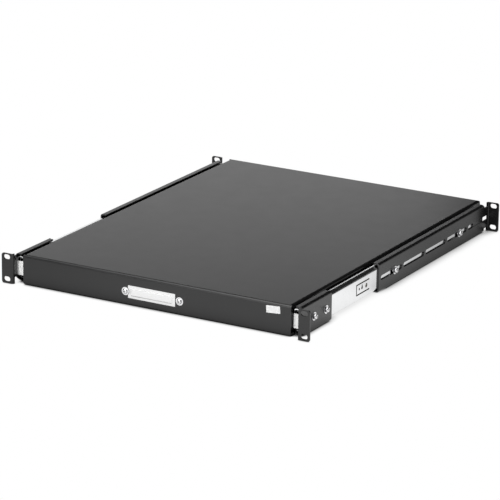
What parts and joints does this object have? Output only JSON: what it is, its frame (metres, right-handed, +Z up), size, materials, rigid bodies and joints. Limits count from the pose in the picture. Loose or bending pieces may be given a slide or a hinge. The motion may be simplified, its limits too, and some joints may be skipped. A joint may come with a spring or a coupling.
{
  "type": "sliding rack shelf",
  "caption": "Low rack tray with a folded front panel on two telescopic ball-bearing slides, held by slotted rear brackets and ears.",
  "frame": {"origin": "middle of the front ears' hole pattern, on the front face of the ears", "axes": "+X to the right seen from the front, +Y from the front ears to the rear ears, +Z up"},
  "size_m": [0.482, 0.5744, 0.0428],
  "materials": {
    "black_paint": "satin",
    "zinc_sheet": "satin",
    "retainer_steel": "satin",
    "ball_steel": "polished",
    "black_plastic": "matte",
    "white_nylon": "matte",
    "plated_hardware": "polished",
    "dark_hardware": "satin",
    "bright_plate": "satin",
    "label_film": "gloss"
  },
  "bodies": {
    "rack_frame": {"front_bracket_left": "black_paint", "front_bracket_right": "black_paint", "outer_member_left": "zinc_sheet", "outer_member_right": "zinc_sheet", "slide_buffer_left": "black_plastic", "slide_buffer_right": "black_plastic", "bracket_screws_left": "plated_hardware", "bracket_screws_right": "plated_hardware", "flat_washers_left": "plated_hardware", "flat_washers_right": "plated_hardware", "lock_washers_left": "dark_hardware", "lock_washers_right": "dark_hardware"},
    "tray": {"tray_pan": "black_paint", "inner_member_left": "zinc_sheet", "inner_member_right": "zinc_sheet", "front_stop_left": "white_nylon", "front_stop_right": "white_nylon", "tray_screws_left": "plated_hardware", "tray_screws_right": "plated_hardware", "front_plate": "bright_plate", "plate_screws": "plated_hardware", "plate_washers": "plated_hardware", "plate_nuts": "plated_hardware", "blank_label": "label_film"},
    "middle_left": {"middle_member_left": "zinc_sheet"},
    "outer_retainer_left": {"outer_cage_left": "retainer_steel", "outer_balls_left": "ball_steel"},
    "inner_retainer_left": {"inner_cage_left": "retainer_steel", "inner_balls_left": "ball_steel"},
    "rear_mount_left": {"rear_bracket_left": "black_paint"},
    "middle_right": {"middle_member_right": "zinc_sheet"},
    "outer_retainer_right": {"outer_cage_right": "retainer_steel", "outer_balls_right": "ball_steel"},
    "inner_retainer_right": {"inner_cage_right": "retainer_steel", "inner_balls_right": "ball_steel"},
    "rear_mount_right": {"rear_bracket_right": "black_paint"}
  },
  "joints": [
    {"name": "tray_slide", "type": "slide", "parent": "rack_frame", "child": "tray", "axis": [0, -1, 0], "range_m": [0, 0.5]},
    {"name": "middle_slide_left", "type": "slide", "parent": "rack_frame", "child": "middle_left", "axis": [0, -1, 0], "range_m": [0, 0.25]},
    {"name": "outer_retainer_slide_left", "type": "slide", "parent": "rack_frame", "child": "outer_retainer_left", "axis": [0, -1, 0], "range_m": [0, 0.125]},
    {"name": "inner_retainer_slide_left", "type": "slide", "parent": "rack_frame", "child": "inner_retainer_left", "axis": [0, -1, 0], "range_m": [0, 0.375]},
    {"name": "depth_adjust_left", "type": "slide", "parent": "rack_frame", "child": "rear_mount_left", "axis": [0, 1, 0], "range_m": [-0.019, 0.035]},
    {"name": "middle_slide_right", "type": "slide", "parent": "rack_frame", "child": "middle_right", "axis": [0, -1, 0], "range_m": [0, 0.25]},
    {"name": "outer_retainer_slide_right", "type": "slide", "parent": "rack_frame", "child": "outer_retainer_right", "axis": [0, -1, 0], "range_m": [0, 0.125]},
    {"name": "inner_retainer_slide_right", "type": "slide", "parent": "rack_frame", "child": "inner_retainer_right", "axis": [0, -1, 0], "range_m": [0, 0.375]},
    {"name": "depth_adjust_right", "type": "slide", "parent": "rack_frame", "child": "rear_mount_right", "axis": [0, 1, 0], "range_m": [-0.019, 0.035]}
  ],
  "couplings": [
    {"joint": "middle_slide_left", "follows": "tray_slide", "ratio": 0.5},
    {"joint": "outer_retainer_slide_left", "follows": "tray_slide", "ratio": 0.25},
    {"joint": "inner_retainer_slide_left", "follows": "tray_slide", "ratio": 0.75},
    {"joint": "middle_slide_right", "follows": "tray_slide", "ratio": 0.5},
    {"joint": "outer_retainer_slide_right", "follows": "tray_slide", "ratio": 0.25},
    {"joint": "inner_retainer_slide_right", "follows": "tray_slide", "ratio": 0.75}
  ]
}
